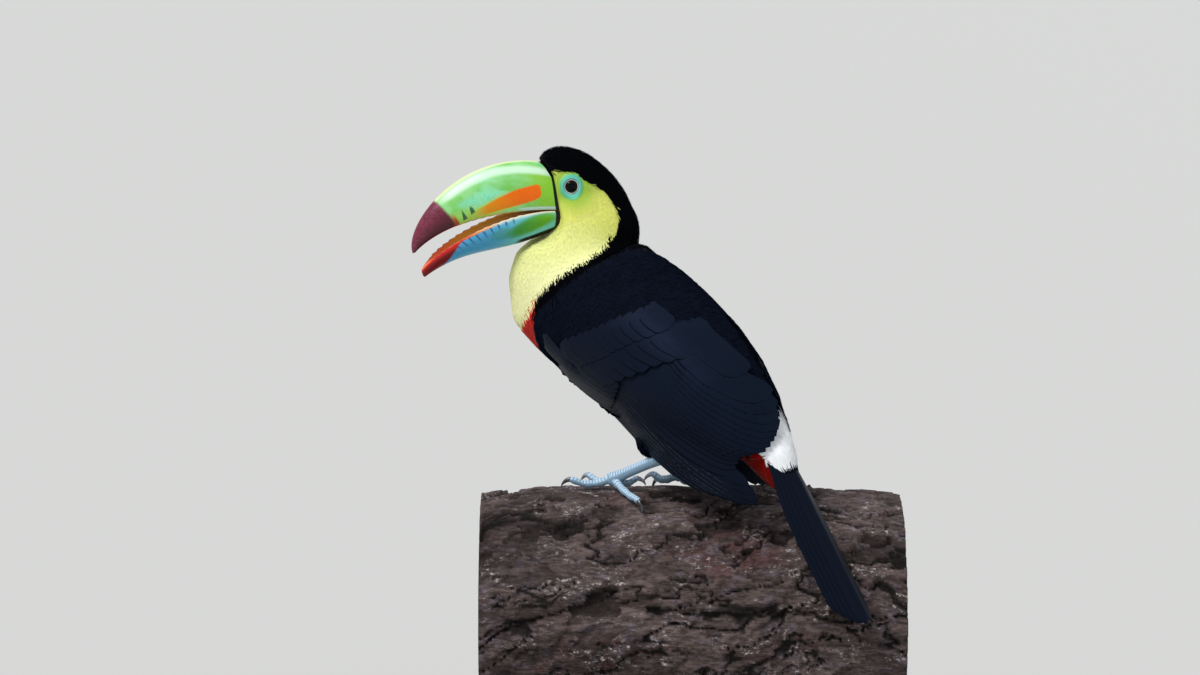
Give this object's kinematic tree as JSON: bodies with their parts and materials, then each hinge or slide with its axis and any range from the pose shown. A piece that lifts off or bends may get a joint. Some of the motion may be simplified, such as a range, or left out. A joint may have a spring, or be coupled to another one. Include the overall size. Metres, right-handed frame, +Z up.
{
  "type": "keel-billed toucan on a perch",
  "caption": "Life-size toucan with a large coloured keel-shaped bill, folded wings and a long tail, gripping a cut length of thick branch on a flat display stand.",
  "frame": {"origin": "middle of the underside of the whole, on the surface that the stand's base rests on", "axes": "+Z up, X along the branch with the bill towards -X, and the tail in front of the branch towards -Y"},
  "size_m": [0.354, 0.2336, 0.4759],
  "materials": {
    "bill_upper": "smooth satin horn, yellow-green with a cream culmen stripe, an orange flame and a maroon tip",
    "bill_lower": "smooth satin horn, sky blue with a dark green patch at the base and a maroon tip",
    "eye": "polished, dark brown iris",
    "face_and_crown": "short velvety black feathers, bare lime-green and turquoise skin round the eye",
    "bib": "soft lemon-yellow feathers with a narrow red band below",
    "body_plumage": "soft black feathers with a faint blue sheen",
    "wing_plumage": "sleek black flight and covert feathers with a navy sheen",
    "tail_coverts": "soft white feathers above, red feathers below",
    "tail": "long stiff blue-black feathers, slightly glossy",
    "feet": "pale blue scaly skin",
    "claws": "dull horn, dark grey to pale brown",
    "bark": "rough flaky brown bark with reddish patches, sawn pale ends",
    "stand_base": "satin near-black paint",
    "stand_rod": "brushed steel rod"
  },
  "bodies": {
    "root": {"bill_lower": "bill_lower", "bill_upper": "bill_upper", "claw_left_1": "claws", "claw_left_2": "claws", "claw_left_3": "claws", "claw_left_4": "claws", "claw_right_1": "claws", "claw_right_2": "claws", "claw_right_3": "claws", "claw_right_4": "claws", "eye_left": "eye", "eye_right": "eye", "head": "face_and_crown", "neck": "bib", "perch": "bark", "stand_base": "stand_base", "stand_rod_1": "stand_rod", "stand_rod_2": "stand_rod", "tail": "tail", "tail_coverts": "tail_coverts", "tarsus_left": "feet", "tarsus_right": "feet", "thigh_left": "body_plumage", "thigh_right": "body_plumage", "toe_left_1": "feet", "toe_left_2": "feet", "toe_left_3": "feet", "toe_left_4": "feet", "toe_right_1": "feet", "toe_right_2": "feet", "toe_right_3": "feet", "toe_right_4": "feet", "trunk": "body_plumage", "wing_left": "wing_plumage", "wing_right": "wing_plumage"}
  },
  "joints": []
}
